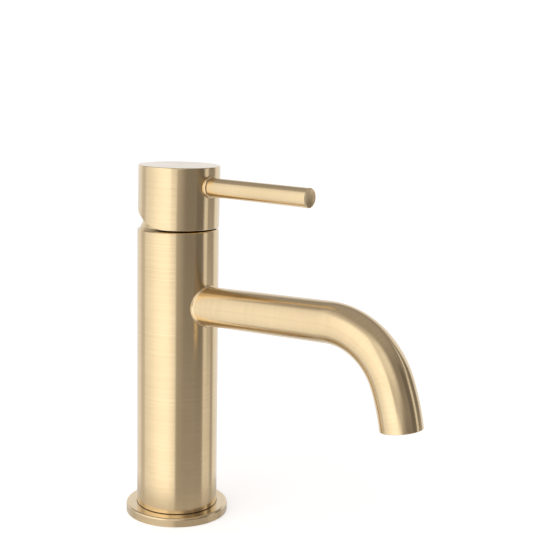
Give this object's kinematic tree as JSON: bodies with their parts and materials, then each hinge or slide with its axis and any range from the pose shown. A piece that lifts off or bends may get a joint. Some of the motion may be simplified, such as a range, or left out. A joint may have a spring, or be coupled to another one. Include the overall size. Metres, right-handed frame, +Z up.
{
  "type": "basin mixer faucet",
  "caption": "Single-lever basin mixer: a plain round brushed-brass column on a round base ring, with a downturned side spout and a rod lever on a tilting head.",
  "frame": {"origin": "centre of the column's underside, in the plane that rests on the deck", "axes": "+Z up along the column, +X forward along the spout and the closed lever, +Y to the spout's left"},
  "size_m": [0.1707, 0.0532, 0.183],
  "materials": {
    "brushed_finish": "fine satin brushed, lacquered",
    "machined_brass": "machined",
    "rubber_seal": "moulded",
    "cartridge_plastic": "moulded",
    "aerator_plastic": "moulded",
    "carrier_plastic": "moulded",
    "limit_plastic": "moulded",
    "disc_ceramic": "lapped",
    "stainless": "plain"
  },
  "bodies": {
    "column": {"base_flange": "brushed_finish", "base_gasket": "rubber_seal", "flange_o_ring": "rubber_seal", "body_column": "brushed_finish", "spout_tube": "brushed_finish", "spout_nozzle": "brushed_finish", "aerator_housing": "machined_brass", "aerator_insert": "aerator_plastic", "aerator_washer": "rubber_seal", "inlet_seals": "rubber_seal", "outlet_seal": "rubber_seal", "cartridge_base": "cartridge_plastic", "cartridge_housing": "cartridge_plastic", "fixed_disc": "disc_ceramic", "limit_ring": "limit_plastic", "cartridge_nut": "machined_brass", "collar_o_ring": "rubber_seal", "dome_collar": "brushed_finish"},
    "turning_part": {"turret": "cartridge_plastic", "axle_pin": "stainless"},
    "valve_slide": {"disc_carrier": "carrier_plastic", "moving_disc": "disc_ceramic"},
    "lever": {"spindle": "machined_brass", "lever_head": "brushed_finish", "set_screw": "stainless", "lever_stud": "stainless", "lever_collar": "brushed_finish", "lever_rod": "brushed_finish"}
  },
  "joints": [
    {"name": "lever_turn", "type": "hinge", "parent": "column", "child": "turning_part", "pos_m": [0, 0, 0.1435], "axis": [0, 0, 1], "range_deg": [-45, 45]},
    {"name": "lever_lift", "type": "hinge", "parent": "turning_part", "child": "lever", "pos_m": [0, 0, 0.1435], "axis": [0, -1, 0], "range_deg": [0, 25]},
    {"name": "valve_travel", "type": "slide", "parent": "turning_part", "child": "valve_slide", "axis": [1, 0, 0], "range_m": [0, 0.00405]}
  ],
  "couplings": [
    {"joint": "valve_travel", "follows": "lever_lift", "m_per_rad": 0.009236}
  ]
}
